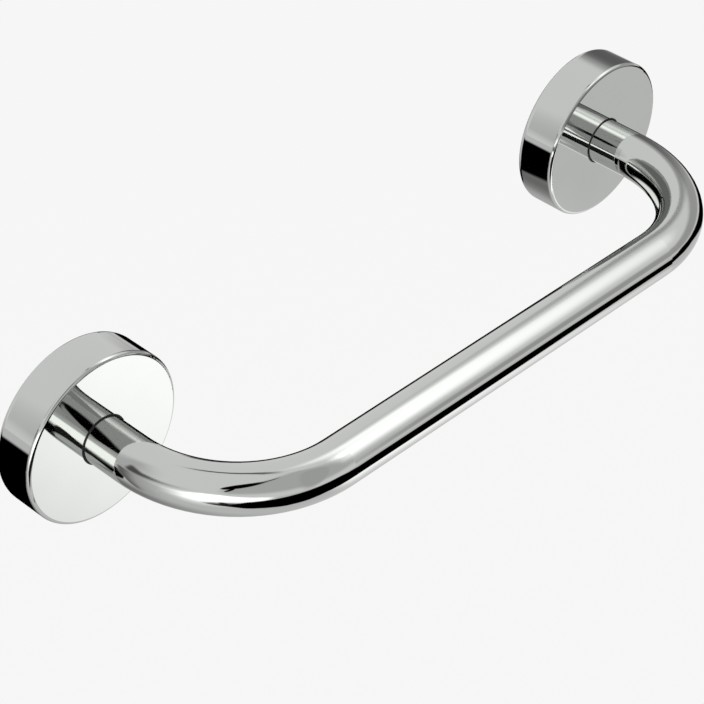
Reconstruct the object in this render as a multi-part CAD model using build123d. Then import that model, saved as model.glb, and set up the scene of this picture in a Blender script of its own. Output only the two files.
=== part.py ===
import math
import os

from build123d import *

# A wall grab bar: a bent chrome tube clamped into two thick round rosettes, with a concealed wall fixing.
# Millimetres. The wall is the plane Y = 0, the bar stands out along -Y and runs along X, and +Z is up.
# The origin lies on the wall, midway between the two rosettes.

# Bar
bar_length = 300.0  # between the rosettes' centres
bar_diameter = 20.5
bar_wall = 1.5
bar_axis_height = 90.0  # from the wall to the axis of the straight run
bend_radius = 54.0  # at the tube's centre line

# Rosette: a cast cup, open to the wall, with a socket for the tube
rosette_diameter = 74.0
rosette_depth = 19.5
rosette_rim_wall = 4.5
rosette_front_wall = 4.0
front_edge_radius = 1.5
back_edge_radius = 3.0
core_corner_radius = 1.5
boss_wall = 4.5
web_thickness = 3.0  # floor of the socket
rib_count = 4
rib_thickness = 3.0
rib_first_angle = 45.0  # degrees from X, clear of the wall screws

# Joint ring at the mouth of the socket
ring_width = 0.6
ring_depth = 1.5  # below the rosette's face
ring_proud = 0.15  # above it
ring_edge_radius = 0.12

# Threaded plug in the tube's end
plug_length = 16.0
plug_setback = 0.3  # behind the tube's end, so that the tube bottoms first
plug_chamfer = 0.5

# Clamp bolt, low socket head
bolt_diameter = 8.0
bolt_length = 16.0  # under the head
bolt_chamfer = 0.8
head_diameter = 13.0
head_height = 5.0
head_edge_radius = 0.5
head_setback = 0.7  # from the wall
head_socket_width = 5.0  # across flats
head_socket_depth = 2.8

# Split lock washer, pressed flat
washer_thickness = 1.6
washer_width = 2.2
washer_split = 1.2
washer_split_lean = 25.0  # degrees off the axis

# Wall disc with an undercut rim
disc_rim_band = 1.5
disc_undercut = 3.25
disc_bore_margin = 1.75  # around the bolt's head
slot_width = 5.5
slot_length = 9.0
slot_rim_margin = 4.25
disc_edge_chamfer = 0.4

# Grub screw with a 90 degree point, under the rosette
grub_diameter = 5.0
grub_length = 5.0
grub_setback = 4.0  # from the wall to its axis
grub_chamfer = 0.4
grub_socket_width = 2.5  # across flats
grub_socket_depth = 2.0

# Clearances, all per side
socket_clearance = 0.15
ring_clearance = 0.05
press_clearance = 0.05
thread_clearance = 0.05
bolt_hole_clearance = 0.25
disc_clearance = 0.25
disc_seat_clearance = 0.3
point_clearance = 0.07  # along the screw

# Worked-out sizes. Heights are distances from the wall.
bar_radius = bar_diameter / 2
rosette_radius = rosette_diameter / 2
recess_radius = rosette_radius - rosette_rim_wall
core_height = rosette_depth - rosette_front_wall
socket_radius = bar_radius + socket_clearance
groove_radius = bar_radius + ring_width + 2 * ring_clearance
boss_radius = socket_radius + boss_wall
head_seat_height = head_setback + head_height
boss_height = head_seat_height + washer_thickness
socket_height = boss_height + web_thickness
bolt_hole_radius = bolt_diameter / 2 + bolt_hole_clearance
disc_radius = recess_radius - disc_clearance
disc_thickness = boss_height - disc_seat_clearance
disc_back_radius = disc_radius - disc_undercut
undercut_height = disc_thickness - disc_rim_band
disc_bore_radius = head_diameter / 2 + disc_bore_margin
slot_radius = disc_back_radius - slot_rim_margin - slot_width / 2
grub_point_radius = disc_radius - undercut_height + grub_setback + point_clearance


def turned(outline):
    """Revolve a closed outline of (radius, height) points round the Z axis."""
    return revolve(Plane.XZ * make_face(Polyline(*outline, close=True)), Axis.Z)


def rings_of(solid, radius, height):
    """The round edges of a turned solid at one radius and height."""
    rings = solid.edges().filter_by(GeomType.CIRCLE)
    return rings.filter_by(
        lambda ring: math.isclose(ring.radius, radius, abs_tol=1e-4)
        and math.isclose(ring.center().Z, height, abs_tol=1e-4)
    )


def key_socket(width, depth, base):
    """The hexagonal hollow for a key, from a base height upwards."""
    hexagon = RegularPolygon(width / 2, 6, major_radius=False)
    return Pos(0, 0, base) * extrude(hexagon, depth)


def make_bar():
    """The tube, swept along three straight runs and two bends."""
    end_x = bar_length / 2
    path = FilletPolyline(
        (-end_x, -socket_height),
        (-end_x, -bar_axis_height),
        (end_x, -bar_axis_height),
        (end_x, -socket_height),
        radius=bend_radius,
    )
    section = Circle(bar_radius) - Circle(bar_radius - bar_wall)
    return sweep(Plane(origin=path @ 0, z_dir=path % 0) * section, path)


def make_rosette():
    """A cup with a socket boss, ribs behind its face and a tapped hole in the lower rim."""
    cup = turned(
        [
            (recess_radius, 0),
            (rosette_radius, 0),
            (rosette_radius, rosette_depth),
            (groove_radius, rosette_depth),
            (groove_radius, rosette_depth - ring_depth),
            (socket_radius, rosette_depth - ring_depth),
            (socket_radius, socket_height),
            (bolt_hole_radius, socket_height),
            (bolt_hole_radius, boss_height),
            (boss_radius, boss_height),
            (boss_radius, core_height),
            (recess_radius, core_height),
        ]
    )
    cup = fillet(rings_of(cup, rosette_radius, rosette_depth), front_edge_radius)
    cup = fillet(rings_of(cup, rosette_radius, 0), back_edge_radius)
    cup = fillet(rings_of(cup, boss_radius, core_height), core_corner_radius)
    cup = fillet(rings_of(cup, recess_radius, core_height), core_corner_radius)
    # Each rib runs from inside the boss wall to inside the rim, and down into the face.
    rib_start = boss_radius - boss_wall / 2
    rib_end = recess_radius + rosette_rim_wall / 2
    rib_top = core_height + rosette_front_wall / 2
    rib = Box(
        rib_end - rib_start,
        rib_thickness,
        rib_top - boss_height,
        align=(Align.MIN, Align.CENTER, Align.MIN),
    )
    for step in range(rib_count):
        cup += Rot(0, 0, rib_first_angle + step * 360 / rib_count) * Pos(rib_start, 0, boss_height) * rib
    hole = Cylinder(grub_diameter / 2 + thread_clearance, 2 * rosette_rim_wall)
    hole_middle = Pos(0, 0, rosette_radius - rosette_rim_wall / 2)
    return cup - Pos(0, 0, grub_setback) * Rot(90, 0, 0) * hole_middle * hole


def make_joint_ring():
    """A black ring that fills the groove round the tube and stands a little proud of the face."""
    inner = bar_radius + ring_clearance
    outer = groove_radius - ring_clearance
    top = rosette_depth + ring_proud
    bottom = rosette_depth - ring_depth
    ring = turned([(inner, bottom), (outer, bottom), (outer, top), (inner, top)])
    return fillet(rings_of(ring, outer, top), ring_edge_radius)


def make_end_plug():
    """A tapped sleeve fixed in the tube's end."""
    outer = bar_radius - bar_wall - press_clearance
    inner = bolt_diameter / 2 + thread_clearance
    near = socket_height + plug_setback
    far = near + plug_length
    plug = turned([(inner, near), (outer, near), (outer, far), (inner, far)])
    ends = rings_of(plug, outer, near) + rings_of(plug, outer, far)
    return chamfer(ends, plug_chamfer)


def make_clamp_bolt():
    """A low-headed socket screw, its head towards the wall."""
    radius = bolt_diameter / 2
    head_radius = head_diameter / 2
    tip = head_seat_height + bolt_length
    bolt = turned(
        [
            (0, head_setback),
            (head_radius, head_setback),
            (head_radius, head_seat_height),
            (radius, head_seat_height),
            (radius, tip - bolt_chamfer),
            (radius - bolt_chamfer, tip),
            (0, tip),
        ]
    )
    bolt = fillet(rings_of(bolt, head_radius, head_setback), head_edge_radius)
    return bolt - key_socket(head_socket_width, head_socket_depth, head_setback)


def make_lock_washer():
    """A flat ring with a leaning cut through one side."""
    inner = bolt_hole_radius
    outer = inner + washer_width
    base = head_seat_height
    washer = turned([(inner, base), (outer, base), (outer, boss_height), (inner, boss_height)])
    cut = Box(2 * washer_width, washer_split, 4 * washer_thickness)
    middle = Pos((inner + outer) / 2, 0, (base + boss_height) / 2)
    return washer - middle * Rot(washer_split_lean, 0, 0) * cut


def make_wall_disc():
    """A disc with a dovetail rim and two level slots for the wall screws."""
    disc = turned(
        [
            (disc_bore_radius, 0),
            (disc_back_radius, 0),
            (disc_back_radius, undercut_height - disc_undercut),
            (disc_radius, undercut_height),
            (disc_radius, disc_thickness),
            (disc_bore_radius, disc_thickness),
        ]
    )
    disc = chamfer(rings_of(disc, disc_bore_radius, disc_thickness), disc_edge_chamfer)
    slot = extrude(SlotOverall(slot_length, slot_width), disc_thickness)
    for side in (-1, 1):
        disc -= Pos(0, side * slot_radius, 0) * slot
    return disc


def make_grub_screw():
    """A headless screw pointing up at the disc's undercut, with its key socket below."""
    radius = grub_diameter / 2
    point = grub_point_radius
    end = point + grub_length
    screw = turned(
        [
            (0, point),
            (radius, point + radius),
            (radius, end - grub_chamfer),
            (radius - grub_chamfer, end),
            (0, end),
        ]
    )
    screw -= key_socket(grub_socket_width, grub_socket_depth, end - grub_socket_depth)
    return Pos(0, 0, grub_setback) * Rot(90, 0, 0) * screw


os.makedirs("parts", exist_ok=True)

export_step(make_bar(), "parts/bar.step")

end_pieces = {
    "rosette": make_rosette(),
    "joint_ring": make_joint_ring(),
    "end_plug": make_end_plug(),
    "clamp_bolt": make_clamp_bolt(),
    "lock_washer": make_lock_washer(),
    "wall_disc": make_wall_disc(),
    "grub_screw": make_grub_screw(),
}

# The pieces of an end are made about the Z axis, with height as the distance from the wall, and then
# stood on the wall at each end of the bar.
for side, place in (("left", -bar_length / 2), ("right", bar_length / 2)):
    on_wall = Plane(origin=(place, 0, 0), x_dir=(1, 0, 0), z_dir=(0, -1, 0))
    for name, piece in end_pieces.items():
        export_step(on_wall.location * piece, f"parts/{side}_{name}.step")
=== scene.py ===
import math

import bmesh
import bpy
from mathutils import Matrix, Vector

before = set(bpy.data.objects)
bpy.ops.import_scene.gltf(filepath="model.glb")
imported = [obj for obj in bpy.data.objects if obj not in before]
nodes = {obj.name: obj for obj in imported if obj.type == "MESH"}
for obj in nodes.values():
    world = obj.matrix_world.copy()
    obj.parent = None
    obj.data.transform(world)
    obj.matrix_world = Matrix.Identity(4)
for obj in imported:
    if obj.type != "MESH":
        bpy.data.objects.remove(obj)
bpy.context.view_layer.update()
mm = 0.001
mixFirst, mixSecond, mixResult = 6, 7, 2  # the colour sockets of a Mix node
print("frame loaded:", len(nodes), "pieces")


# the sRGB standard's own curve
def toLinear(hexColour):
    channels = [int(hexColour[i:i + 2], 16) / 255 for i in (1, 3, 5)]
    linear = [c / 12.92 if c <= 0.04045 else ((c + 0.055) / 1.055) ** 2.4 for c in channels]
    return (*linear, 1.0)


# adds one node: settings are its own attributes, values fill its sockets,
# and links join its sockets to other nodes' outputs
def addNode(tree, kind, settings=None, values=None, links=None):
    node = tree.nodes.new(kind)
    for name, setting in (settings or {}).items():
        setattr(node, name, setting)
    for socket, value in (values or {}).items():
        node.inputs[socket].default_value = value
    for socket, output in (links or {}).items():
        tree.links.new(output, node.inputs[socket])
    return node


def newMaterial(name):
    material = bpy.data.materials.new(name)
    material.use_nodes = True
    material.node_tree.nodes.clear()
    return material, material.node_tree


def finishMaterial(tree, shader):
    addNode(tree, "ShaderNodeOutputMaterial", links={"Surface": shader.outputs[0]})


def dress(material, *names):
    for name in names:
        nodes[name].data.materials.clear()
        nodes[name].data.materials.append(material)


# polished chrome plate over cast and drawn metal: a near-perfect mirror, cool and slightly green-grey,
# with a long faint ripple from the polishing wheel and a thin veil of wiping haze
chrome = {
    "colour": "#D0D2CF",
    "wornColour": "#CBCDCA",
    "hazeWidth": 22 * mm,
    "hazeDetail": 4.0,
    "hazeRange": (0.35, 0.75),  # the part of the noise that goes from clear to hazy
    "roughness": (0.018, 0.05),
    "rippleWidth": 9 * mm,
    "rippleDetail": 1.0,
    "rippleDepth": 0.004 * mm,
    "rippleStrength": 1.0,
}


def makeChrome():
    material, tree = newMaterial("polishedChromePlate")
    place = addNode(tree, "ShaderNodeTexCoord").outputs["Object"]
    haze = addNode(tree, "ShaderNodeTexNoise",
                   values={"Scale": 1 / chrome["hazeWidth"], "Detail": chrome["hazeDetail"]},
                   links={"Vector": place})
    roughness = addNode(tree, "ShaderNodeMapRange",
                        values={"From Min": chrome["hazeRange"][0], "From Max": chrome["hazeRange"][1],
                                "To Min": chrome["roughness"][0], "To Max": chrome["roughness"][1]},
                        links={"Value": haze.outputs["Fac"]})
    colour = addNode(tree, "ShaderNodeMix", {"data_type": "RGBA"},
                     {mixFirst: toLinear(chrome["colour"]), mixSecond: toLinear(chrome["wornColour"])},
                     {"Factor": haze.outputs["Fac"]})
    ripple = addNode(tree, "ShaderNodeTexNoise",
                     values={"Scale": 1 / chrome["rippleWidth"], "Detail": chrome["rippleDetail"]},
                     links={"Vector": place})
    bump = addNode(tree, "ShaderNodeBump",
                   values={"Strength": chrome["rippleStrength"], "Distance": chrome["rippleDepth"]},
                   links={"Height": ripple.outputs["Fac"]})
    shader = addNode(tree, "ShaderNodeBsdfPrincipled", values={"Metallic": 1.0},
                     links={"Base Color": colour.outputs[mixResult], "Roughness": roughness.outputs[0],
                            "Normal": bump.outputs[0]})
    finishMaterial(tree, shader)
    return material


dress(makeChrome(), "bar", "left_rosette", "right_rosette")
print("chrome done")

# moulded black rubber: a soft dark edge that takes only a broad dull sheen, grained by its mould
rubber = {
    "colour": "#0B0B0B",
    "paleColour": "#131312",
    "grainWidth": 0.35 * mm,  # drawn coarser than the real mould grain, so that it shows
    "grainDetail": 3.0,
    "grainDepth": 0.02 * mm,
    "grainStrength": 0.6,
    "roughness": 0.55,
    "ior": 1.52,
}


def makeRubber():
    material, tree = newMaterial("mouldedBlackRubber")
    place = addNode(tree, "ShaderNodeTexCoord").outputs["Object"]
    grain = addNode(tree, "ShaderNodeTexNoise",
                    values={"Scale": 1 / rubber["grainWidth"], "Detail": rubber["grainDetail"]},
                    links={"Vector": place})
    colour = addNode(tree, "ShaderNodeMix", {"data_type": "RGBA"},
                     {mixFirst: toLinear(rubber["colour"]), mixSecond: toLinear(rubber["paleColour"])},
                     {"Factor": grain.outputs["Fac"]})
    bump = addNode(tree, "ShaderNodeBump",
                   values={"Strength": rubber["grainStrength"], "Distance": rubber["grainDepth"]},
                   links={"Height": grain.outputs["Fac"]})
    shader = addNode(tree, "ShaderNodeBsdfPrincipled",
                     values={"Roughness": rubber["roughness"], "IOR": rubber["ior"]},
                     links={"Base Color": colour.outputs[mixResult], "Normal": bump.outputs[0]})
    finishMaterial(tree, shader)
    return material


dress(makeRubber(), "left_joint_ring", "right_joint_ring")
print("rubber done")

# zinc-plated turned steel: bluish grey, with the fine rings of the lathe and a mottled plating
zinc = {
    "colour": "#AEB4B9",
    "dullColour": "#8F959A",
    "mottleWidth": 6 * mm,
    "mottleDetail": 6.0,
    "roughness": (0.28, 0.46),
    "ringSpacing": 0.6 * mm,  # drawn coarser than a real lathe feed, so that it shows
    "ringDepth": 0.01 * mm,
    "ringStrength": 0.5,
    "endPlace": 150 * mm,  # each disc's axis, from the middle of the bar
}


def makeZinc():
    material, tree = newMaterial("zincPlatedTurnedSteel")
    place = addNode(tree, "ShaderNodeTexCoord").outputs["Object"]
    split = addNode(tree, "ShaderNodeSeparateXYZ", links={"Vector": place})
    side = addNode(tree, "ShaderNodeMath", {"operation": "ABSOLUTE"}, links={0: split.outputs["X"]})
    fromAxis = addNode(tree, "ShaderNodeMath", {"operation": "SUBTRACT"}, {1: zinc["endPlace"]},
                       {0: side.outputs[0]})
    across = addNode(tree, "ShaderNodeCombineXYZ", links={"X": fromAxis.outputs[0], "Y": split.outputs["Z"]})
    radius = addNode(tree, "ShaderNodeVectorMath", {"operation": "LENGTH"}, links={0: across.outputs[0]})
    turns = addNode(tree, "ShaderNodeMath", {"operation": "MULTIPLY"},
                    {1: 2 * math.pi / zinc["ringSpacing"]}, {0: radius.outputs["Value"]})
    rings = addNode(tree, "ShaderNodeMath", {"operation": "SINE"}, links={0: turns.outputs[0]})
    mottle = addNode(tree, "ShaderNodeTexNoise",
                     values={"Scale": 1 / zinc["mottleWidth"], "Detail": zinc["mottleDetail"]},
                     links={"Vector": place})
    colour = addNode(tree, "ShaderNodeMix", {"data_type": "RGBA"},
                     {mixFirst: toLinear(zinc["colour"]), mixSecond: toLinear(zinc["dullColour"])},
                     {"Factor": mottle.outputs["Fac"]})
    roughness = addNode(tree, "ShaderNodeMapRange",
                        values={"To Min": zinc["roughness"][0], "To Max": zinc["roughness"][1]},
                        links={"Value": mottle.outputs["Fac"]})
    bump = addNode(tree, "ShaderNodeBump",
                   values={"Strength": zinc["ringStrength"], "Distance": zinc["ringDepth"]},
                   links={"Height": rings.outputs[0]})
    shader = addNode(tree, "ShaderNodeBsdfPrincipled", values={"Metallic": 1.0},
                     links={"Base Color": colour.outputs[mixResult], "Roughness": roughness.outputs[0],
                            "Normal": bump.outputs[0]})
    finishMaterial(tree, shader)
    return material


dress(makeZinc(), "left_wall_disc", "right_wall_disc")
print("zinc done")

# turned stainless steel: warm grey and satin, with a fine uneven grain
stainless = {
    "colour": "#B3B0AB",
    "darkColour": "#8E8B86",
    "grainWidth": 0.5 * mm,  # drawn coarser than real turning marks, so that it shows
    "grainDetail": 2.0,
    "grainDepth": 0.006 * mm,
    "grainStrength": 0.4,
    "roughness": (0.22, 0.4),
}


def makeStainless():
    material, tree = newMaterial("turnedStainlessSteel")
    place = addNode(tree, "ShaderNodeTexCoord").outputs["Object"]
    grain = addNode(tree, "ShaderNodeTexNoise",
                    values={"Scale": 1 / stainless["grainWidth"], "Detail": stainless["grainDetail"]},
                    links={"Vector": place})
    colour = addNode(tree, "ShaderNodeMix", {"data_type": "RGBA"},
                     {mixFirst: toLinear(stainless["colour"]), mixSecond: toLinear(stainless["darkColour"])},
                     {"Factor": grain.outputs["Fac"]})
    roughness = addNode(tree, "ShaderNodeMapRange",
                        values={"To Min": stainless["roughness"][0], "To Max": stainless["roughness"][1]},
                        links={"Value": grain.outputs["Fac"]})
    bump = addNode(tree, "ShaderNodeBump",
                   values={"Strength": stainless["grainStrength"], "Distance": stainless["grainDepth"]},
                   links={"Height": grain.outputs["Fac"]})
    shader = addNode(tree, "ShaderNodeBsdfPrincipled", values={"Metallic": 1.0},
                     links={"Base Color": colour.outputs[mixResult], "Roughness": roughness.outputs[0],
                            "Normal": bump.outputs[0]})
    finishMaterial(tree, shader)
    return material


dress(makeStainless(), "left_clamp_bolt", "right_clamp_bolt", "left_lock_washer", "right_lock_washer",
      "left_grub_screw", "right_grub_screw")
print("stainless done")

# turned brass: yellow, satin, a little tarnished in patches
brass = {
    "colour": "#D8B871",
    "tarnishColour": "#A98748",
    "patchWidth": 4 * mm,
    "patchDetail": 5.0,
    "roughness": (0.25, 0.45),
}


def makeBrass():
    material, tree = newMaterial("turnedBrass")
    place = addNode(tree, "ShaderNodeTexCoord").outputs["Object"]
    patches = addNode(tree, "ShaderNodeTexNoise",
                      values={"Scale": 1 / brass["patchWidth"], "Detail": brass["patchDetail"]},
                      links={"Vector": place})
    colour = addNode(tree, "ShaderNodeMix", {"data_type": "RGBA"},
                     {mixFirst: toLinear(brass["colour"]), mixSecond: toLinear(brass["tarnishColour"])},
                     {"Factor": patches.outputs["Fac"]})
    roughness = addNode(tree, "ShaderNodeMapRange",
                        values={"To Min": brass["roughness"][0], "To Max": brass["roughness"][1]},
                        links={"Value": patches.outputs["Fac"]})
    shader = addNode(tree, "ShaderNodeBsdfPrincipled", values={"Metallic": 1.0},
                     links={"Base Color": colour.outputs[mixResult], "Roughness": roughness.outputs[0]})
    finishMaterial(tree, shader)
    return material


dress(makeBrass(), "left_end_plug", "right_end_plug")
print("brass done")

# studio: pale surroundings, a pale floor well below the bar, and cards that only the metal mirrors
studio = {
    "surround": 0.85,  # what the metal sees all round
    "roomLight": 0.75,  # what lights the matt pieces
    "backdrop": 1.0,  # what the camera sees behind the bar
    "cardDistance": 1.72,
    "cardSpacing": 0.005,
    "columnStep": 2.0,  # degrees from one column of a card to the next, at most
    "bandRows": 8,  # rows in a card's upper edge, its middle and its lower edge
}

# each card's stops are (azimuth, top, bottom) in degrees round the bar; azimuth 0 is along +X, 90 along +Y.
# feather softens its top and bottom edges, and ends its first and last, also in degrees.
# a card hangs a little in front of the one before it
cards = {
    "greyCardFront": {"strength": 0.56, "feather": (7, 14), "ends": (10, 22), "stops": [
        (-150, 30, 20), (-130, 53, 18), (-120, 61, 16), (-98, 68, 12), (-85, 71, 10), (-55, 74, 12),
        (-45, 70, 14)]},
    "greyCardRight": {"strength": 0.45, "feather": (9, 9), "ends": (8, 10), "stops": [
        (-64, 14, 0), (-20, 22, 1), (20, 28, 0), (36, 28, 0)]},
    "darkPanelRight": {"strength": 0.14, "feather": (48, 18), "ends": (16, 7), "stops": [
        (10, 34, -12), (20, 36, -12), (30, 34, -12), (41, 24, -12)]},
    "darkEdgeBack": {"strength": 0.06, "feather": (3, 3), "ends": (2, 3), "stops": [
        (42, 6, -16), (45, 2, -16), (48, -6, -16), (53, -12, -18)]},
    "paleScreenLeft": {"strength": 0.58, "feather": (24, 10), "ends": (14, 26), "stops": [
        (138, 56, 10), (150, 50, 0), (162, 46, 5), (180, 40, 15)]},
    "greyCardLeft": {"strength": 0.5, "feather": (10, 14), "ends": (10, 22), "stops": [
        (150, 10, -46), (162, 16, -48), (172, 18, -48), (184, 12, -48)]},
    "darkScreenLeft": {"strength": 0.17, "feather": (5, 10), "ends": (2, 12), "stops": [
        (152, 1, -44), (156, 1, -46), (166, 0, -38)]},
    "darkStand": {"strength": 0.1, "feather": (9, 9), "ends": (3, 42), "stops": [
        (155, 27, 3), (166, 18, 5), (182, 18, 8), (204, 22, 14)]},
    "overheadSoftbox": {"strength": 1.6, "feather": (24, 22), "ends": (20, 26), "stops": [
        (-66, 40, 24), (-46, 50, 33), (-14, 65, 42), (0, 68, 46), (12, 68, 50), (30, 64, 51)]},
    "leftSoftbox": {"strength": 2.2, "feather": (7, 16), "ends": (32, 10), "stops": [
        (-184, 2, -20), (-166, 7, -22), (-156, 12, -21), (-146, 12, -17), (-125, 2, -11), (-112, -3, -10)]},
    "greyEdgeFront": {"strength": 0.2, "feather": (12, 3), "ends": (9, 8), "stops": [
        (-159, -22, -25), (-144, -18, -32), (-132, -14, -40)]},
    "blackCardFront": {"strength": 0.0, "feather": (2.5, 2.5), "ends": (14, 5), "stops": [
        (-158, -24, -26.5), (-142, -25, -32.5), (-130, -14.5, -44), (-102, -9.5, -53), (-86, -6.5, -51),
        (-73, -4.5, -42), (-57, -11, -38), (-46, -11, -37), (-42, -7.5, -34), (-39, -4, -28),
        (-36, -2, -20.5), (-20, -3, -18), (7, -7, -29), (30, -8, -31)]},
    "blackCardBack": {"strength": 0.0, "feather": (3, 2), "ends": (3, 4), "stops": [
        (33, -18, -38), (50, -9, -43), (66, -10, -50), (70, -38, -53), (84, -44, -57), (104, -44, -57.5),
        (120, -38, -53), (125, -11, -52), (130, -11, -50), (136, -11, -45), (148, -10.5, -37),
        (155, -12, -24)]},
    "ceilingRail": {"strength": 0.12, "feather": (4, 4), "ends": (100, 28), "stops": [
        (-72, 78, 74), (-40, 82, 78), (-6, 84, 78.5), (21, 82, 77), (55, 78, 71), (66, 75.5, 69),
        (94, 73, 69)]},
    "boomArm": {"strength": 0.1, "feather": (1.5, 1.5), "ends": (6, 20), "stops": [
        (-124, 55.5, 52.5), (-115, 61, 58), (-98, 67, 64.5), (-84, 71, 69.5)]},
}


def showOnlyInMetal(thing):
    thing.visible_camera = False
    thing.visible_diffuse = False
    thing.visible_shadow = False


# hangs a mesh as glowing cloth, which is solid where shown is 1 and clear where it is 0
def hangCloth(mesh, material, shown, strength):
    tree = material.node_tree
    clear = addNode(tree, "ShaderNodeBsdfTransparent")
    cloth = addNode(tree, "ShaderNodeEmission", values={"Strength": strength})
    mixed = addNode(tree, "ShaderNodeMixShader",
                    links={0: shown.outputs[0], 1: clear.outputs[0], 2: cloth.outputs[0]})
    finishMaterial(tree, mixed)
    mesh.materials.append(material)
    hung = bpy.data.objects.new(mesh.name, mesh)
    bpy.context.scene.collection.objects.link(hung)
    showOnlyInMetal(hung)


def direction(azimuth, elevation):
    a, e = math.radians(azimuth), math.radians(elevation)
    return Vector((math.cos(e) * math.cos(a), math.cos(e) * math.sin(a), math.sin(e)))


# a card's stops, filled in so that no two lie further apart than the column step
def columns(stops):
    found = []
    for (a0, t0, b0), (a1, t1, b1) in zip(stops, stops[1:]):
        count = max(1, math.ceil((a1 - a0) / studio["columnStep"]))
        found += [(a0 + (a1 - a0) * i / count, t0 + (t1 - t0) * i / count, b0 + (b1 - b0) * i / count)
                  for i in range(count)]
    return found + [stops[-1]]


# a curved card on a sphere round the bar, feathered out at its edges
def hangCard(name, card, distance):
    mesh = bpy.data.meshes.new(name)
    shape = bmesh.new()
    cover = shape.verts.layers.float.new("cover")
    stops = card["stops"]
    softTop, softBottom = (width / 2 for width in card["feather"])
    count = studio["bandRows"]
    lastColumn = None
    for azimuth, top, bottom in columns(stops):
        share = min(1.0, (azimuth - stops[0][0]) / card["ends"][0],
                    (stops[-1][0] - azimuth) / card["ends"][1])
        middle = (top + bottom) / 2
        solidTop, solidBottom = max(top - softTop, middle), min(bottom + softBottom, middle)
        bands = [(top + softTop, 0, solidTop, 1), (solidTop, 1, solidBottom, 1),
                 (solidBottom, 1, bottom - softBottom, 0)]
        rows = [(e0 + (e1 - e0) * i / count, c0 + (c1 - c0) * i / count)
                for e0, c0, e1, c1 in bands for i in range(count)]
        column = []
        for elevation, inside in rows + [(bottom - softBottom, 0)]:
            corner = shape.verts.new(direction(azimuth, elevation) * distance)
            corner[cover] = inside * share
            column.append(corner)
        if lastColumn:
            for i in range(len(column) - 1):
                shape.faces.new((lastColumn[i], column[i], column[i + 1], lastColumn[i + 1]))
        lastColumn = column
    shape.to_mesh(mesh)
    shape.free()
    material, tree = newMaterial(name + "Cloth")
    edge = addNode(tree, "ShaderNodeAttribute", {"attribute_name": "cover"})
    soft = addNode(tree, "ShaderNodeMapRange", {"interpolation_type": "SMOOTHSTEP"},
                   links={"Value": edge.outputs["Fac"]})
    hangCloth(mesh, material, soft, card["strength"])


for order, (name, card) in enumerate(cards.items()):
    hangCard(name, card, studio["cardDistance"] - order * studio["cardSpacing"])
print("cards hung:", len(cards))

# small things near the bar: each is an ellipse between two ends, in metres, and shows only its front,
# which is turned to the frame's origin or the way that facing says.
# feather is the share of it that softens outwards
toWall = (0.0, 1.0, 0.0)
nearThings = {
    "lensHood": {"strength": 0.0, "ends": ((-0.41, -0.255, 0.25), (-0.14, -0.17, 0.195)),
                 "halfWidth": 0.03, "feather": 0.25},
    "upperStand": {"strength": 0.0, "ends": ((-0.95, -0.7, 0.52), (-0.75, -0.68, 0.82)),
                   "halfWidth": 0.036, "feather": 0.25},
    "lowerStand": {"strength": 0.02, "ends": ((-0.79, -0.53, -0.2), (-0.65, -0.54, -0.52)),
                   "halfWidth": 0.06, "feather": 0.6},
    "sideSoftbox": {"strength": 2.2, "ends": ((0.09, -0.27, 0.44), (0.37, -0.27, 0.44)),
                    "halfWidth": 0.14, "feather": 0.9},
    "whiteReflector": {"strength": 1.7, "ends": ((0.09, -0.09, -0.09), (0.3, -0.25, -0.16)),
                       "halfWidth": 0.062, "feather": 0.3, "facing": (0.6, 0.8, 0.0)},
    "darkFlag": {"strength": 0.28, "ends": ((0.06, -0.07, 0.045), (0.27, -0.07, 0.014)),
                 "halfWidth": 0.026, "feather": 0.35, "facing": toWall},
    "smallGreyFlag": {"strength": 0.5, "ends": ((-0.211, -0.054, 0.036), (-0.156, -0.054, 0.028)),
                      "halfWidth": 0.006, "feather": 0.35, "facing": toWall},
    "smallBlackFlag": {"strength": 0.02, "ends": ((-0.183, -0.054, -0.001), (-0.202, -0.054, -0.039)),
                       "halfWidth": 0.01, "feather": 0.25, "facing": toWall},
    "smallPaleFlag": {"strength": 0.75, "ends": ((-0.164, -0.055, -0.022), (-0.207, -0.055, -0.057)),
                      "halfWidth": 0.014, "feather": 0.3, "facing": toWall},
    "tallGreyFlag": {"strength": 0.4, "ends": ((-0.118, -0.07, 0.012), (-0.113, -0.07, 0.08)),
                     "halfWidth": 0.013, "feather": 0.35, "facing": toWall},
    "longBlackFlag": {"strength": 0.02, "ends": ((-0.01, -0.07, -0.028), (0.1, -0.07, -0.025)),
                      "halfWidth": 0.011, "feather": 0.25, "facing": toWall},
    "greyFlag": {"strength": 0.5, "ends": ((-0.07, -0.15, 0.135), (-0.12, -0.15, -0.005)),
                 "halfWidth": 0.025, "feather": 0.3},
}


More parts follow.
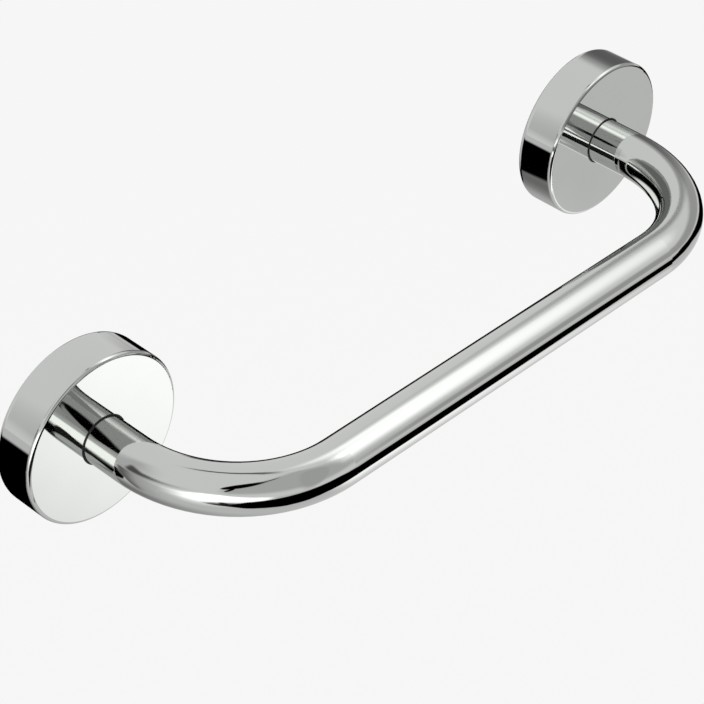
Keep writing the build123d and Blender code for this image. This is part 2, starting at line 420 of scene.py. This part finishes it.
def hangNear(name, thing):
    first, last = (Vector(end) for end in thing["ends"])
    along, middle = (last - first) / 2, (first + last) / 2
    facing = Vector(thing.get("facing", -middle))
    across = facing.cross(along).normalized() * thing["halfWidth"]
    corners = [(-1, -1), (1, -1), (1, 1), (-1, 1)]
    mesh = bpy.data.meshes.new(name)
    mesh.from_pydata([middle + along * u + across * v for u, v in corners], [], [(0, 1, 2, 3)])
    spread = mesh.attributes.new("spread", "FLOAT_VECTOR", "POINT")
    for i, (u, v) in enumerate(corners):
        spread.data[i].vector = (u, v, 0.0)
    material, tree = newMaterial(name + "Cloth")
    spot = addNode(tree, "ShaderNodeAttribute", {"attribute_name": "spread"})
    reach = addNode(tree, "ShaderNodeVectorMath", {"operation": "LENGTH"}, links={0: spot.outputs["Vector"]})
    soft = addNode(tree, "ShaderNodeMapRange", {"interpolation_type": "SMOOTHSTEP"},
                   {"From Min": 1 - thing["feather"], "From Max": 1.0, "To Min": 1.0, "To Max": 0.0},
                   {"Value": reach.outputs["Value"]})
    side = addNode(tree, "ShaderNodeNewGeometry")
    front = addNode(tree, "ShaderNodeMath", {"operation": "SUBTRACT", "use_clamp": True},
                    links={0: soft.outputs[0], 1: side.outputs["Backfacing"]})
    hangCloth(mesh, material, front, thing["strength"])


for name, thing in nearThings.items():
    hangNear(name, thing)
print("near things hung:", len(nearThings))

floor = {
    "drop": 1.6,  # below the bar's axis, in metres, so that the camera can also look up from under the bar
    "size": 40.0,
    "colour": "#E4E4E2",
    "mirrored": 0.70,  # how pale the metal sees it
    # painted light and shade on the floor, seen only by the metal: painted pools of light in front to the
    # right and far to the left, and painted shade of the bar behind it
    "paintedLightAndShade": {
        "paintedLightFrontRight": {"place": (1.28, -1.9, 0.0), "radii": (0.82, 2.5, 1.0), "gain": 0.9},
        "paintedLightFarLeft": {"place": (-2.8, -1.35, 0.0), "radii": (1.7, 1.4, 1.0), "gain": 0.35},
        "paintedShadeBehind": {"place": (-0.4, 1.0, 0.0), "radii": (1.7, 1.5, 1.0), "gain": -0.5},
        "paintedShadeBehindRight": {"place": (1.3, 0.9, 0.0), "radii": (0.9, 0.9, 1.0), "gain": -0.25},
    },
    "white": 1.0,
    "whiteShare": 0.8,  # of what the camera sees; the rest is lit, and takes the shadow
}


def layFloor():
    half = floor["size"] / 2
    corners = [(-half, -half, 0), (half, -half, 0), (half, half, 0), (-half, half, 0)]
    mesh = bpy.data.meshes.new("floor")
    mesh.from_pydata(corners, [], [(0, 1, 2, 3)])
    sheet = bpy.data.objects.new("floor", mesh)
    sheet.location.z = -floor["drop"]
    bpy.context.scene.collection.objects.link(sheet)
    material, tree = newMaterial("paleFloor")
    place = addNode(tree, "ShaderNodeTexCoord").outputs["Object"]
    level = addNode(tree, "ShaderNodeValue")
    level.outputs[0].default_value = floor["mirrored"]
    # adds the painted pools of light and the painted shade to the level that the metal sees
    for spot in floor["paintedLightAndShade"].values():
        away = addNode(tree, "ShaderNodeVectorMath", {"operation": "SUBTRACT"}, {1: spot["place"]},
                       {0: place})
        scaled = addNode(tree, "ShaderNodeVectorMath", {"operation": "DIVIDE"}, {1: spot["radii"]},
                         {0: away.outputs[0]})
        reach = addNode(tree, "ShaderNodeVectorMath", {"operation": "LENGTH"}, links={0: scaled.outputs[0]})
        change = addNode(tree, "ShaderNodeMapRange", {"interpolation_type": "SMOOTHSTEP"},
                         {"To Min": spot["gain"], "To Max": 0.0}, {"Value": reach.outputs["Value"]})
        level = addNode(tree, "ShaderNodeMath", {"operation": "ADD"},
                        links={0: level.outputs[0], 1: change.outputs[0]})
    rays = addNode(tree, "ShaderNodeLightPath")
    metal = addNode(tree, "ShaderNodeMath", {"operation": "MAXIMUM"},
                    links={0: rays.outputs["Is Glossy Ray"], 1: rays.outputs["Is Transmission Ray"]})
    bright = addNode(tree, "ShaderNodeMath", {"operation": "MULTIPLY"}, {1: floor["whiteShare"]},
                     {0: rays.outputs["Is Camera Ray"]})
    matt = addNode(tree, "ShaderNodeBsdfDiffuse", values={"Color": toLinear(floor["colour"])})
    white = addNode(tree, "ShaderNodeEmission", values={"Strength": floor["white"]})
    mirrored = addNode(tree, "ShaderNodeEmission", links={"Strength": level.outputs[0]})
    seen = addNode(tree, "ShaderNodeMixShader",
                   links={0: metal.outputs[0], 1: matt.outputs[0], 2: mirrored.outputs[0]})
    last = addNode(tree, "ShaderNodeMixShader",
                   links={0: bright.outputs[0], 1: seen.outputs[0], 2: white.outputs[0]})
    finishMaterial(tree, last)
    mesh.materials.append(material)


layFloor()
print("floor laid")


def makeWorld():
    world = bpy.data.worlds.new("paleStudio")
    bpy.context.scene.world = world
    world.use_nodes = True
    tree = world.node_tree
    tree.nodes.clear()
    white = toLinear("#FFFFFF")
    rays = addNode(tree, "ShaderNodeLightPath")
    metal = addNode(tree, "ShaderNodeMath", {"operation": "MAXIMUM"},
                    links={0: rays.outputs["Is Glossy Ray"], 1: rays.outputs["Is Transmission Ray"]})
    room = addNode(tree, "ShaderNodeBackground", values={"Color": white, "Strength": studio["roomLight"]})
    mirrored = addNode(tree, "ShaderNodeBackground", values={"Color": white, "Strength": studio["surround"]})
    seen = addNode(tree, "ShaderNodeMixShader",
                   links={0: metal.outputs[0], 1: room.outputs[0], 2: mirrored.outputs[0]})
    backdrop = addNode(tree, "ShaderNodeBackground", values={"Color": white, "Strength": studio["backdrop"]})
    last = addNode(tree, "ShaderNodeMixShader",
                   links={0: rays.outputs["Is Camera Ray"], 1: seen.outputs[0], 2: backdrop.outputs[0]})
    addNode(tree, "ShaderNodeOutputWorld", links={"Surface": last.outputs[0]})


makeWorld()

# one soft lamp from the upper left, for the matt pieces; the chrome sees the cards instead
keyLamp = {"place": (-1.2, -1.6, 1.9), "size": 1.4, "watts": 22.0}


def hangLamp():
    lamp = bpy.data.lights.new("keyLamp", "AREA")
    lamp.energy = keyLamp["watts"]
    lamp.size = keyLamp["size"]
    stand = bpy.data.objects.new("keyLamp", lamp)
    stand.location = keyLamp["place"]
    stand.rotation_euler = (-Vector(keyLamp["place"])).to_track_quat("-Z", "Y").to_euler()
    stand.visible_glossy = False
    bpy.context.scene.collection.objects.link(stand)


hangLamp()

# the camera stands in front of the bar, to its left and above it
view = {
    "place": (-0.6019, -0.5482, 0.5877),
    "turn": (51.883, -2.101, -46.465),  # degrees
    "lens": 122.8,
    "sensor": 36.0,
    "farthest": 100.0,  # metres, past the floor's corners
}


def setCamera():
    data = bpy.data.cameras.new("camera")
    data.lens = view["lens"]
    data.sensor_width = view["sensor"]
    data.clip_end = view["farthest"]
    camera = bpy.data.objects.new("camera", data)
    camera.location = view["place"]
    camera.rotation_euler = [math.radians(t) for t in view["turn"]]
    bpy.context.scene.collection.objects.link(camera)
    bpy.context.scene.camera = camera


setCamera()
bpy.context.scene.view_settings.view_transform = "Standard"
print("studio and camera set")
